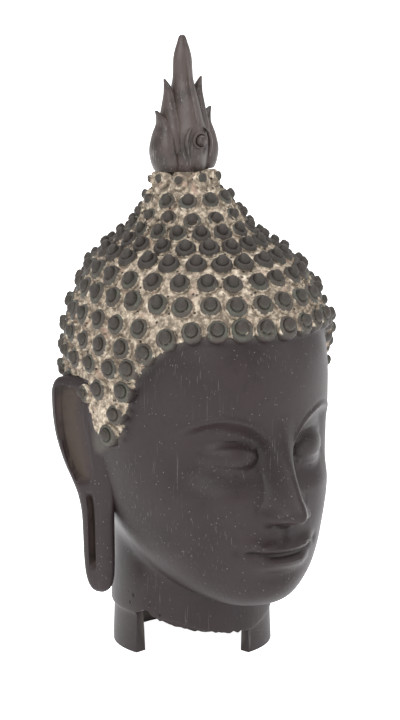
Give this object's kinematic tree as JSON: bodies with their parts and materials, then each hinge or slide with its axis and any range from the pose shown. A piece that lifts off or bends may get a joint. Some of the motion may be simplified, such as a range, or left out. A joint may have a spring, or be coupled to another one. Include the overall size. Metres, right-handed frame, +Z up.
{
  "type": "bronze buddha head",
  "caption": "Hollow cast head of a Buddha image with rows of knobbed hair curls, long-lobed ears, a neck broken off below and a tall pointed flame on the crown.",
  "frame": {"origin": "middle of the bounding box in plan, on the level that the neck's broken foot stands on", "axes": "+Z up, the face looks along -Y, +X is the figure's left side"},
  "size_m": [0.1518, 0.1856, 0.3363],
  "materials": {
    "bronze": "very dark brown-black bronze patina with a soft sheen, earth in the hollows between the curls",
    "flame_bronze": "dark brown bronze, a little smoother and lighter, rubbed on the edges"
  },
  "bodies": {
    "root": {"head": "bronze", "flame": "flame_bronze"}
  },
  "joints": []
}
